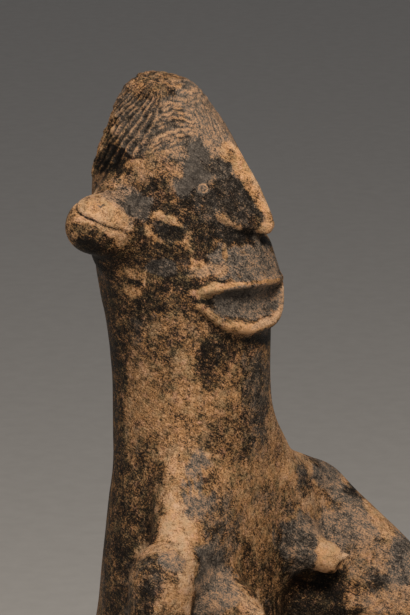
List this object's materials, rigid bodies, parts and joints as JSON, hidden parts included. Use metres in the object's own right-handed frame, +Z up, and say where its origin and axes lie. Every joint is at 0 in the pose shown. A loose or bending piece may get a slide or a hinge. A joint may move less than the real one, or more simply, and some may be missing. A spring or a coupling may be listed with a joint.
{
  "type": "terracotta maternity figure",
  "caption": "Hand-built terracotta figure of a kneeling mother with a tall combed head, wide open lips and bean-shaped ears, her arms round a child on her lap, on a low oval base.",
  "frame": {"origin": "the floor under the middle of the figure's bounding box, level with the underside of the base", "axes": "+Z up along the neck, -Y the way the face looks, +X to the figure's own left"},
  "size_m": [0.1988, 0.2054, 0.4988],
  "materials": {
    "worn_terracotta": "fired clay, tan where worn, under a mottled blue-black slip"
  },
  "bodies": {
    "root": {"maternity_figure": "worn_terracotta"}
  },
  "joints": []
}
